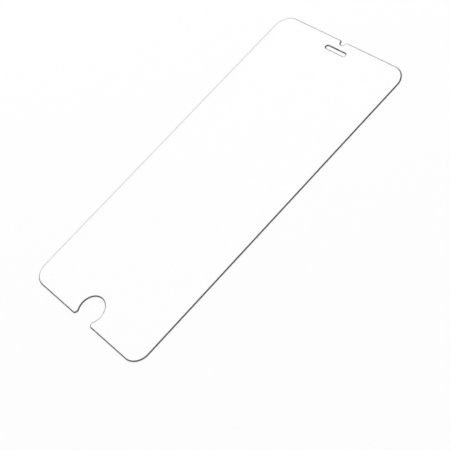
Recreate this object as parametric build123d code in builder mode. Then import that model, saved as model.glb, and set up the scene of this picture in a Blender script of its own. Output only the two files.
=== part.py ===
from build123d import *
import os

# Phone screen protector: one clear sheet of tempered glass, lying on its bonding face.
# +Y points to the earpiece end, +Z up from the bonding face, origin under the middle of the sheet. Millimetres.

# Sheet
sheet_width = 70.0
sheet_length = 151.0
sheet_thickness = 0.4
corner_radius = 6.7

# Ground edge, round the outside and round the slot: a bevel whose upper corner is rolled into the top face
edge_bevel_run = 0.28
edge_bevel_drop = 0.28
edge_roll_radius = 0.4

# Seam: the small bevel that breaks the edges of the bonding face
seam_bevel = 0.05

# Earpiece slot, a full-round slot below the top edge
slot_length = 10.7
slot_height = 1.45
slot_from_top = 5.25

# Sensor notch, a round bite out of the top edge with rolled-out lips
notch_radius = 1.1
notch_depth = 1.8
notch_lip_radius = 0.8

# Home-button cut-out, most of a circle open to the bottom edge, with flared lips
cutout_radius = 5.7
cutout_from_bottom = 5.3
cutout_lip_radius = 1.5

# Places along the sheet
top_edge = sheet_length / 2
bottom_edge = -sheet_length / 2
slot_centre = top_edge - slot_from_top
notch_centre = top_edge - notch_depth + notch_radius
cutout_centre = bottom_edge + cutout_from_bottom

with BuildPart() as glass_sheet:
    with BuildSketch() as outline:
        RectangleRounded(sheet_width, sheet_length, corner_radius)

        # The two bites out of the end edges
        with Locations((0, notch_centre)):
            Circle(notch_radius, mode=Mode.SUBTRACT)
        with Locations((0, cutout_centre)):
            Circle(cutout_radius, mode=Mode.SUBTRACT)

        # Lips, where each bite meets its edge
        notch_lips = outline.vertices().group_by(Axis.Y)[-1].sort_by(Axis.X)[1:-1]
        fillet(notch_lips, radius=notch_lip_radius)
        cutout_lips = outline.vertices().group_by(Axis.Y)[0].sort_by(Axis.X)[1:-1]
        fillet(cutout_lips, radius=cutout_lip_radius)

        with Locations((0, slot_centre)):
            SlotOverall(slot_length, slot_height, mode=Mode.SUBTRACT)
    extrude(amount=sheet_thickness)

    # Break every edge of the bonding face
    bonding_face = glass_sheet.faces().sort_by(Axis.Z)[0]
    chamfer(bonding_face.edges(), length=seam_bevel)

    # Bevel the top face's outer rim and its slot, then roll each bevel's upper corner into the face
    top_face = glass_sheet.faces().sort_by(Axis.Z)[-1]
    chamfer(
        top_face.edges(),
        length=edge_bevel_run,
        length2=edge_bevel_drop,
        reference=top_face,
    )
    bevel_corners = glass_sheet.faces().sort_by(Axis.Z)[-1].edges()
    fillet(bevel_corners, radius=edge_roll_radius)

os.makedirs("parts", exist_ok=True)
glass_sheet.part.label = "glass_sheet"
export_step(glass_sheet.part, "parts/glass_sheet.step")
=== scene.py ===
from math import atan2, cos, degrees, radians, sin, sqrt, tan

import bmesh
import bpy
from mathutils import Euler, Matrix, Vector


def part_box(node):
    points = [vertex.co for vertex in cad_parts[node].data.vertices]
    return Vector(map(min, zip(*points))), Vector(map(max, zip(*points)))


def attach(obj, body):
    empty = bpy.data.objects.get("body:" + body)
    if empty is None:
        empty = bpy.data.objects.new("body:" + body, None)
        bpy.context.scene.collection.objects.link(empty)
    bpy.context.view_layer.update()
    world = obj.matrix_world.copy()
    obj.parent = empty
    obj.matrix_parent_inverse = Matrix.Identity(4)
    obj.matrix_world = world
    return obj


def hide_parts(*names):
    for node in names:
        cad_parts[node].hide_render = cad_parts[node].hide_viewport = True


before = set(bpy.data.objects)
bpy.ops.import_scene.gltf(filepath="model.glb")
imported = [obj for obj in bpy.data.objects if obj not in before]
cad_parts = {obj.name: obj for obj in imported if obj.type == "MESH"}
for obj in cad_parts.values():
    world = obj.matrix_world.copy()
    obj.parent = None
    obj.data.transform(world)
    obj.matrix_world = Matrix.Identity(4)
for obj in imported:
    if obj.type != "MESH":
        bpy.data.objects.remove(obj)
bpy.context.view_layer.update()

MM = 0.001

# Sizes of the sheet's features in millimetres, as the solid has them
CORNER_RADIUS = 6.7
EDGE_BEVEL_RUN = 0.28
EDGE_BEVEL_DROP = 0.28
EDGE_ROLL_RADIUS = 0.4
SEAM_BEVEL = 0.05
SLOT_LENGTH = 10.7
SLOT_HEIGHT = 1.45
SLOT_FROM_TOP = 5.25
NOTCH_RADIUS = 1.1
NOTCH_DEPTH = 1.8
NOTCH_LIP_RADIUS = 0.8
CUTOUT_RADIUS = 5.7
CUTOUT_FROM_BOTTOM = 5.3
CUTOUT_LIP_RADIUS = 1.5

# How finely the round stretches are cut and from which angle an edge stays sharp, in degrees, and
# in how many steps the roll is cut
ARC_STEP = 3.0
SHARP_ANGLE = 20.0
ROLL_STEPS = 12

# What the making left on the glass, in millimetres. The wheels' real lines lie about 0.01 apart,
# which is too fine to show, so they are drawn further apart.
OVEN_WAVE_LENGTH = 24.0
OVEN_WAVE_HEIGHT = 0.006
WIPE_LENGTH = 60.0
WIPE_WIDTH = 9.0
POLISH_LINE_LENGTH = 15.0
POLISH_LINE_SPACING = 0.05
POLISH_LINE_DEPTH = 0.001
GRIND_LINE_LENGTH = 12.0
GRIND_LINE_SPACING = 0.04
GRIND_LINE_DEPTH = 0.004

# Roughness that goes with those marks, and between which values of its pattern a mark grows
WIPE_ROUGHNESS = 0.04
WIPE_STARTS = 0.4
WIPE_FULL = 0.7
ROLL_SMOOTHEST = 0.22
ROLL_ROUGHEST = 0.32
GROUND_SMOOTHEST = 0.25
GROUND_ROUGHEST = 0.45
LINE_STARTS = 0.3
LINE_FULL = 0.7

# Glass: how it bends light, between which slopes in degrees the worked edge turns from clear to
#  painted dark (painted shade), and how much of the ground edge still lets light through
GLASS_IOR = 1.51
CLEAR_SLOPE = 0.0
DARK_SLOPE = 4.0
GROUND_CLARITY = 0.6

# The table and the light, in metres, watts and degrees. A brightness of 1 is white.
FLOOR_GAP = 0.02 * MM
FLOOR_SIZE = 30.0
CARD_WHITENESS = 0.45
ROOM_DARK_SIDE = 0.60
ROOM_BRIGHT_SIDE = 1.03
ROOM_BRIGHT_AZIMUTH = 240.0
ROOM_BRIGHT_ELEVATION = 40.0
WINDOW_COUNT = 16
WINDOW_TURN = 18.5
WINDOW_WIDTH = 7.0
WINDOW_SOFTNESS = 2.5
WINDOW_SILL = 8.0
WINDOW_HEAD = 38.0
WINDOW_BRIGHTNESS = 1.05
PIER_SHADE = 0.7
LAMP_WIDTH = 0.65
LAMP_POWER = 33.0
LAMP_DISTANCE = 3.0
LAMP_AZIMUTH = 225.0
LAMP_ELEVATION = 27.0

# The sheet's finishes in the order of its slots, how far up its bevel the edge is ground, and how
# many rows of faces that makes: seam, wall and foot of the bevel
CLEAR_FACE, POLISHED_ROLL, GROUND_EDGE = range(3)
GROUND_SHARE_OF_BEVEL = 0.5
GROUND_ROWS = 3

# The sheet's own box gives its length, width and thickness
sheet_low, sheet_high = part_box("glass_sheet")
HALF_WIDTH = (sheet_high.x - sheet_low.x) / 2 / MM
HALF_LENGTH = (sheet_high.y - sheet_low.y) / 2 / MM
THICKNESS = (sheet_high.z - sheet_low.z) / MM


def arc(centre, radius, start, end):
    """Points of the rim round an arc, in degrees, each with its outward normal. An arc that runs
    clockwise hollows the glass, so its normals point to its centre."""
    steps = max(2, round(abs(end - start) / ARC_STEP))
    side = 1 if end > start else -1
    points = []
    for i in range(steps + 1):
        a = radians(start + (end - start) * i / steps)
        radial = Vector((cos(a), sin(a)))
        points.append((Vector(centre) + radius * radial, side * radial))
    return points


def turned(points, angle, place):
    """The same points turned about the origin and moved to their place."""
    turn = Euler((0, 0, radians(angle))).to_matrix().to_2x2()
    return [(turn @ point + Vector(place), turn @ normal) for point, normal in points]


def bite(radius, centre_depth, lip_radius):
    """A round bite out of an edge along X with the glass above it: lip, hollow, lip."""
    lip_rise = centre_depth - lip_radius
    foot = sqrt((radius + lip_radius) ** 2 - lip_rise ** 2)
    meet = degrees(atan2(lip_rise, foot))
    hollow = arc((0, centre_depth), radius, 180 + meet, -meet)
    return (
        arc((-foot, lip_radius), lip_radius, -90, meet)
        + hollow[1:-1]
        + arc((foot, lip_radius), lip_radius, 180 - meet, 270)
    )


def sheet_rim():
    """The sheet's outer rim, anticlockwise seen from above."""
    x = HALF_WIDTH - CORNER_RADIUS
    y = HALF_LENGTH - CORNER_RADIUS
    cutout = bite(CUTOUT_RADIUS, CUTOUT_FROM_BOTTOM, CUTOUT_LIP_RADIUS)
    notch = bite(NOTCH_RADIUS, NOTCH_DEPTH - NOTCH_RADIUS, NOTCH_LIP_RADIUS)
    return (
        turned(cutout, 0, (0, -HALF_LENGTH))
        + arc((x, -y), CORNER_RADIUS, -90, 0)
        + arc((x, y), CORNER_RADIUS, 0, 90)
        + turned(notch, 180, (0, HALF_LENGTH))
        + arc((-x, y), CORNER_RADIUS, 90, 180)
        + arc((-x, -y), CORNER_RADIUS, 180, 270)
    )


def slot_rim():
    """The earpiece slot's rim, clockwise seen from above."""
    end = (SLOT_LENGTH - SLOT_HEIGHT) / 2
    y = HALF_LENGTH - SLOT_FROM_TOP
    return (
        arc((end, y), SLOT_HEIGHT / 2, 90, -90)
        + arc((-end, y), SLOT_HEIGHT / 2, 270, 90)
    )


def worked_edge():
    """The edge's section, the same round the sheet and the slot, from the bonding face up to the
    top face: how far in and how high. Seam, wall and the foot of the bevel are ground, and the
    rest of the bevel and the roll are polished."""
    slope = atan2(EDGE_BEVEL_DROP, EDGE_BEVEL_RUN)
    roll_in = EDGE_BEVEL_RUN + EDGE_ROLL_RADIUS * tan(slope / 2)
    roll_centre = THICKNESS - EDGE_ROLL_RADIUS
    roll = []
    for i in range(ROLL_STEPS + 1):
        a = slope * (1 - i / ROLL_STEPS)
        inset = roll_in - EDGE_ROLL_RADIUS * sin(a)
        height = roll_centre + EDGE_ROLL_RADIUS * cos(a)
        roll.append(Vector((inset, height)))
    wall_top = Vector((0, THICKNESS - EDGE_BEVEL_DROP))
    bevel_foot_top = wall_top.lerp(roll[0], GROUND_SHARE_OF_BEVEL)
    return [Vector((SEAM_BEVEL, 0)), Vector((0, SEAM_BEVEL)), wall_top, bevel_foot_top, *roll]


def skirt(mesh, rim, section):
    """Faces round a rim that follow an edge section. Returns the lowest and highest loop's edges."""
    rings = [
        [mesh.verts.new((*(point - inset * normal), height)) for point, normal in rim]
        for inset, height in section
    ]
    for row, (lower, upper) in enumerate(zip(rings, rings[1:])):
        for i in range(len(rim)):
            j = (i + 1) % len(rim)
            face = mesh.faces.new((lower[i], lower[j], upper[j], upper[i]))
            face.material_index = GROUND_EDGE if row < GROUND_ROWS else POLISHED_ROLL
    loops = []
    for ring in (rings[0], rings[-1]):
        loops.append([mesh.edges.get((ring[i - 1], ring[i])) for i in range(len(ring))])
    return loops


def make_sheet(finishes):
    """The whole sheet as one closed mesh in three finishes: clear faces, polished roll and ground
    edge."""
    mesh = bmesh.new()
    outer_under, outer_top = skirt(mesh, sheet_rim(), worked_edge())
    slot_under, slot_top = skirt(mesh, slot_rim(), worked_edge())
    for loop, up in ((outer_under + slot_under, -1), (outer_top + slot_top, 1)):
        filled = bmesh.ops.triangle_fill(mesh, edges=loop, use_beauty=True, normal=(0, 0, up))
        for face in filled["geom"]:
            if isinstance(face, bmesh.types.BMFace):
                face.material_index = CLEAR_FACE
    bmesh.ops.recalc_face_normals(mesh, faces=mesh.faces)
    data = bpy.data.meshes.new("protector_sheet")
    mesh.to_mesh(data)
    mesh.free()
    data.transform(Matrix.Translation((0, 0, sheet_low.z)) @ Matrix.Scale(MM, 4))
    data.set_sharp_from_angle(angle=radians(SHARP_ANGLE))
    # The clear faces are made flat last, because marking sharp edges smooths every face
    for face in data.polygons:
        face.use_smooth = face.material_index != CLEAR_FACE
    for finish in finishes:
        data.materials.append(finish)
    sheet = bpy.data.objects.new("protector_sheet", data)
    bpy.context.scene.collection.objects.link(sheet)
    return sheet


def linear(hex_colour):
    """An sRGB hex colour as the linear colour that a shader takes."""
    values = [int(hex_colour[i:i + 2], 16) / 255 for i in (1, 3, 5)]
    return (*[v / 12.92 if v <= 0.04045 else ((v + 0.055) / 1.055) ** 2.4 for v in values], 1.0)


def add_node(tree, kind, links=None, inputs=None, **settings):
    """A node with its settings, its fixed inputs and the sockets that feed it."""
    node = tree.nodes.new(kind)
    for name, value in settings.items():
        setattr(node, name, value)
    for name, value in (inputs or {}).items():
        node.inputs[name].default_value = value
    for name, socket in (links or {}).items():
        tree.links.new(socket, node.inputs[name])
    return node


def facing(azimuth, elevation):
    """The direction from the sheet out to a place round it, in degrees. Azimuth 0 is on the side
    of the bottom edge, and 90 on the right."""
    turn, rise = radians(azimuth), radians(elevation)
    return Vector((sin(turn) * cos(rise), -cos(turn) * cos(rise), sin(rise)))


def new_material(name):
    """A named material with an empty node tree, and that tree."""
    material = bpy.data.materials.new(name)
    material.use_nodes = True
    material.node_tree.nodes.clear()
    return material, material.node_tree


def let_light_through(tree, glass):
    """The same glass, standing aside for light on its way to the table, so that what lies under it
    is lit."""
    path = add_node(tree, "ShaderNodeLightPath")
    open_air = add_node(tree, "ShaderNodeBsdfTransparent")
    for ray in ("Is Diffuse Ray", "Is Shadow Ray"):
        glass = add_node(tree, "ShaderNodeMixShader", links={
            0: path.outputs[ray], 1: glass.outputs[0], 2: open_air.outputs[0]})
    return glass


def marks(tree, sizes, detail):
    """A soft pattern of marks with the given sizes along X, Y and Z, in millimetres."""
    place = add_node(tree, "ShaderNodeTexCoord")
    scaled = add_node(tree, "ShaderNodeMapping", links={"Vector": place.outputs["Object"]},
                      inputs={"Scale": [1 / (size * MM) for size in sizes]})
    pattern = add_node(tree, "ShaderNodeTexNoise", links={"Vector": scaled.outputs["Vector"]},
                       inputs={"Scale": 1.0, "Detail": detail})
    return pattern.outputs["Fac"]


def clear_tempered_glass():
    """Float glass with fire-polished faces, heated and quenched to temper it. It is water clear with
    a mirror gloss. The oven left its faces a little wavy, which bends a reflection, and the last
    wipe left faint streaks in the gloss along the sheet."""
    material, tree = new_material("clear_tempered_glass")
    waves = marks(tree, (OVEN_WAVE_LENGTH, OVEN_WAVE_LENGTH, OVEN_WAVE_LENGTH), detail=1.0)
    wavy = add_node(tree, "ShaderNodeBump", links={"Height": waves},
                    inputs={"Strength": 1.0, "Distance": OVEN_WAVE_HEIGHT * MM})
    wipes = marks(tree, (WIPE_WIDTH, WIPE_LENGTH, WIPE_WIDTH), detail=3.0)
    gloss = add_node(tree, "ShaderNodeMapRange", links={"Value": wipes},
                     inputs={"From Min": WIPE_STARTS, "From Max": WIPE_FULL,
                             "To Min": 0.0, "To Max": WIPE_ROUGHNESS})
    glass = add_node(
        tree, "ShaderNodeBsdfPrincipled",
        links={"Roughness": gloss.outputs["Result"], "Normal": wavy.outputs["Normal"]},
        inputs={"Base Color": linear("#FFFFFF"), "IOR": GLASS_IOR, "Transmission Weight": 1.0})
    surface = let_light_through(tree, glass)
    add_node(tree, "ShaderNodeOutputMaterial", links={"Surface": surface.outputs[0]})
    return material


def wheel_worked_glass(tree, line_length, line_spacing, line_depth, smoothest, roughest, clarity):
    """Glass that a wheel has run along, which leaves lines level with the table. It is as clear as
    the face where it leaves it. Where it has turned down, its colour is painted near black and
    neutral, a little lighter and darker along the lines: painted shade for the edge's dark line."""
    place = add_node(tree, "ShaderNodeTexCoord")
    upright = add_node(tree, "ShaderNodeSeparateXYZ", links={0: place.outputs["Normal"]})
    turned_down = add_node(tree, "ShaderNodeMapRange", interpolation_type="SMOOTHSTEP",
                           links={"Value": upright.outputs["Z"]},
                           inputs={"From Min": cos(radians(CLEAR_SLOPE)),
                                   "From Max": cos(radians(DARK_SLOPE))})
    lines = marks(tree, (line_length, line_length, line_spacing), detail=2.0)
    grooved = add_node(tree, "ShaderNodeBump", links={"Height": lines},
                       inputs={"Strength": 1.0, "Distance": line_depth * MM})
    worked = add_node(tree, "ShaderNodeMapRange", links={"Value": lines},
                      inputs={"From Min": LINE_STARTS, "From Max": LINE_FULL,
                              "To Min": smoothest, "To Max": roughest})
    gloss = add_node(tree, "ShaderNodeMath", operation="MULTIPLY",
                     links={0: worked.outputs["Result"], 1: turned_down.outputs["Result"]})
    # Painted shade: turned-down glass gets a near-black colour, a little lighter and darker along
    # the lines
    dark = add_node(tree, "ShaderNodeMix", data_type="RGBA", links={"Factor": lines},
                    inputs={"A": linear("#0B0C0C"), "B": linear("#161717")})
    painted_shade = add_node(tree, "ShaderNodeMix", data_type="RGBA",
                    links={"Factor": turned_down.outputs["Result"], "B": dark.outputs["Result"]},
                    inputs={"A": linear("#FFFFFF")})
    return add_node(
        tree, "ShaderNodeBsdfPrincipled",
        links={"Base Color": painted_shade.outputs["Result"], "Roughness": gloss.outputs[0],
               "Normal": grooved.outputs["Normal"]},
        inputs={"IOR": GLASS_IOR, "Transmission Weight": clarity})


def polished_glass_roll():
    """The same glass where the felt polishing wheel rolled the face over into the bevel and polished
    the bevel's upper part: a soft gloss with faint lines along the rim, clear at the face and
    painted dark below, which is painted shade."""
    material, tree = new_material("polished_glass_roll")
    glass = wheel_worked_glass(
        tree, POLISH_LINE_LENGTH, POLISH_LINE_SPACING, POLISH_LINE_DEPTH,
        ROLL_SMOOTHEST, ROLL_ROUGHEST, clarity=1.0)
    surface = let_light_through(tree, glass)
    add_node(tree, "ShaderNodeOutputMaterial", links={"Surface": surface.outputs[0]})
    return material


def fine_ground_glass_edge():
    """The same glass where the diamond wheel ground its edge: satin, with closer and deeper lines
    along the rim, and its colour painted near black as painted shade. It takes the light and
    casts the sheet's shadow."""
    material, tree = new_material("fine_ground_glass_edge")
    surface = wheel_worked_glass(
        tree, GRIND_LINE_LENGTH, GRIND_LINE_SPACING, GRIND_LINE_DEPTH,
        GROUND_SMOOTHEST, GROUND_ROUGHEST, clarity=GROUND_CLARITY)
    add_node(tree, "ShaderNodeOutputMaterial", links={"Surface": surface.outputs[0]})
    return material


def seen_directly(tree):
    """One for a ray from the camera, straight or by way of glass or gloss, and nought for a ray of
    light."""
    path = add_node(tree, "ShaderNodeLightPath")
    seen = path.outputs["Is Camera Ray"]
    for ray in ("Is Glossy Ray", "Is Transmission Ray"):
        either = add_node(tree, "ShaderNodeMath", operation="MAXIMUM",
                          links={0: seen, 1: path.outputs[ray]})
        seen = either.outputs[0]
    return seen


def matt_white_card():
    """Uncoated white card, pressed flat: matt, with no gloss. The camera sees it as white, with the
    sheet's shadow kept."""
    material, tree = new_material("matt_white_card")
    matt = add_node(tree, "ShaderNodeBsdfDiffuse", inputs={"Color": linear("#F9F9F9")})
    glow = add_node(tree, "ShaderNodeEmission",
                    inputs={"Color": linear("#FFFFFF"), "Strength": 1.0})
    share = add_node(tree, "ShaderNodeMath", operation="MULTIPLY", links={0: seen_directly(tree)},
                     inputs={1: CARD_WHITENESS})
    mix = add_node(tree, "ShaderNodeMixShader", links={
        0: share.outputs[0], 1: matt.outputs[0], 2: glow.outputs[0]})
    add_node(tree, "ShaderNodeOutputMaterial", links={"Surface": mix.outputs[0]})
    return material


def pale_room():
    """A pale room, brighter to one side, with a row of soft windows all round and shaded piers
    between them. The row is low, so the sheet mirrors it in a low view and not from above."""
    world = bpy.data.worlds.new("pale_room")
    world.use_nodes = True
    tree = world.node_tree
    tree.nodes.clear()
    direction = add_node(tree, "ShaderNodeTexCoord").outputs["Generated"]
    bright_side = add_node(tree, "ShaderNodeVectorMath", operation="DOT_PRODUCT",
                           links={0: direction},
                           inputs={1: facing(ROOM_BRIGHT_AZIMUTH, ROOM_BRIGHT_ELEVATION)})
    walls = add_node(tree, "ShaderNodeMapRange", links={"Value": bright_side.outputs["Value"]},
                     inputs={"From Min": -1.0, "To Min": ROOM_DARK_SIDE, "To Max": ROOM_BRIGHT_SIDE})
    piers = add_node(tree, "ShaderNodeMath", operation="MULTIPLY",
                     links={0: walls.outputs["Result"]}, inputs={1: PIER_SHADE})

    # Where a direction lies along the row, from 1 in the middle of a window to -1 in the middle of
    # a pier
    apart = add_node(tree, "ShaderNodeSeparateXYZ", links={0: direction})
    bearing = add_node(tree, "ShaderNodeMath", operation="ARCTAN2",
                       links={0: apart.outputs["X"], 1: apart.outputs["Y"]})
    repeated = add_node(tree, "ShaderNodeMath", operation="MULTIPLY_ADD",
                        links={0: bearing.outputs[0]},
                        inputs={1: WINDOW_COUNT, 2: radians(WINDOW_COUNT * WINDOW_TURN)})
    along_row = add_node(tree, "ShaderNodeMath", operation="COSINE", links={0: repeated.outputs[0]})

    # The windows' soft edges, each from where it is shut to where it is open
    half_count = WINDOW_COUNT / 2
    jamb_shut = cos(radians(half_count * (WINDOW_WIDTH + WINDOW_SOFTNESS)))
    jamb_open = cos(radians(half_count * (WINDOW_WIDTH - WINDOW_SOFTNESS)))
    sill_shut = sin(radians(WINDOW_SILL))
    sill_open = sin(radians(WINDOW_SILL + WINDOW_SOFTNESS))
    head_shut = sin(radians(WINDOW_HEAD))
    head_open = sin(radians(WINDOW_HEAD - WINDOW_SOFTNESS))
    edges = []
    for value, shut, open_at in (
        (along_row.outputs[0], jamb_shut, jamb_open),
        (apart.outputs["Z"], sill_shut, sill_open),
        (apart.outputs["Z"], head_shut, head_open),
    ):
        edge = add_node(tree, "ShaderNodeMapRange", interpolation_type="SMOOTHSTEP",
                        links={"Value": value}, inputs={"From Min": shut, "From Max": open_at})
        edges.append(edge.outputs["Result"])
    between_piers, above_sill, below_head = edges
    in_row = add_node(tree, "ShaderNodeMath", operation="MULTIPLY",
                      links={0: above_sill, 1: below_head})
    row = add_node(tree, "ShaderNodeMix", links={"Factor": between_piers, "A": piers.outputs[0]},
                   inputs={"B": WINDOW_BRIGHTNESS})
    all_round = add_node(tree, "ShaderNodeMix", links={
        "Factor": in_row.outputs[0], "A": walls.outputs["Result"], "B": row.outputs["Result"]})
    lit = add_node(tree, "ShaderNodeBackground", links={"Color": all_round.outputs["Result"]},
                   inputs={"Strength": 1.0})
    add_node(tree, "ShaderNodeOutputWorld", links={"Surface": lit.outputs[0]})
    return world


# The sheet
sheet = make_sheet([clear_tempered_glass(), polished_glass_roll(), fine_ground_glass_edge()])
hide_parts("glass_sheet")
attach(sheet, "root")

# The floor, a hair under the sheet so that the two surfaces don't meet in the render
bpy.ops.mesh.primitive_plane_add(size=FLOOR_SIZE, location=(0, 0, sheet_low.z - FLOOR_GAP))
floor = bpy.context.object
floor.name = "floor"
floor.data.materials.append(matt_white_card())

# Light: a pale room with windows, and one soft lamp beyond the sheet's top left corner
bpy.context.scene.world = pale_room()

lamp_data = bpy.data.lights.new("soft_lamp", "AREA")
lamp_data.shape = "DISK"
lamp_data.size = LAMP_WIDTH
lamp_data.energy = LAMP_POWER
lamp = bpy.data.objects.new("soft_lamp", lamp_data)
bpy.context.scene.collection.objects.link(lamp)
towards = facing(LAMP_AZIMUTH, LAMP_ELEVATION)
lamp.location = towards * LAMP_DISTANCE
lamp.rotation_mode = "QUATERNION"
lamp.rotation_quaternion = (-towards).to_track_quat("-Z", "Y")

# Camera, set by the point on the sheet that it looks at
CAMERA_AIM = Vector((19.55, -13.81, 0)) * MM
CAMERA_DISTANCE = 422.9 * MM
CAMERA_AZIMUTH = 75.05
CAMERA_ELEVATION = 48.62
CAMERA_ROLL = -35.68
CAMERA_LENS = 90.33
CAMERA_NEAREST = 10 * MM

camera_data = bpy.data.cameras.new("camera")
camera_data.lens = CAMERA_LENS
camera_data.clip_start = CAMERA_NEAREST
camera = bpy.data.objects.new("camera", camera_data)
bpy.context.scene.collection.objects.link(camera)
back = facing(CAMERA_AZIMUTH, CAMERA_ELEVATION)
camera.location = CAMERA_AIM + back * CAMERA_DISTANCE
camera.rotation_mode = "QUATERNION"
camera_turn = Euler((0, 0, radians(CAMERA_ROLL))).to_quaternion()
camera.rotation_quaternion = (-back).to_track_quat("-Z", "Y") @ camera_turn
bpy.context.scene.camera = camera
bpy.context.scene.view_settings.view_transform = "Standard"
